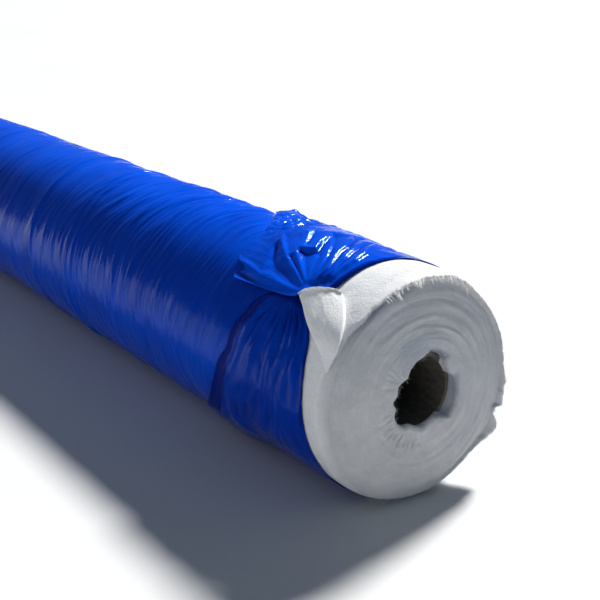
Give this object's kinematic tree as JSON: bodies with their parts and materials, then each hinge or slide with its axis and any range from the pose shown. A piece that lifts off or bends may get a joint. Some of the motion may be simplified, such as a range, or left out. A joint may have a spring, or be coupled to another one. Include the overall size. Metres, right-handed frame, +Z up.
{
  "type": "geotextile membrane roll",
  "caption": "Roll of white nonwoven geotextile felt wound on a cardboard core and wrapped in glossy blue film, folded in at one end and turned back as a bunched cuff at the open end.",
  "frame": {"origin": "on the floor under the middle of the roll, at the bottom centre of its box", "axes": "+X along the roll towards the opened end, +Z up, so -Y is the side with the bunched film and the loose felt corner"},
  "size_m": [2.2686, 0.3254, 0.3264],
  "materials": {
    "felt": "matte",
    "core_board": "matte",
    "film": "gloss"
  },
  "bodies": {
    "root": {"geotextile_roll": "felt", "core_tube": "core_board", "wrap_film": "film"}
  },
  "joints": []
}
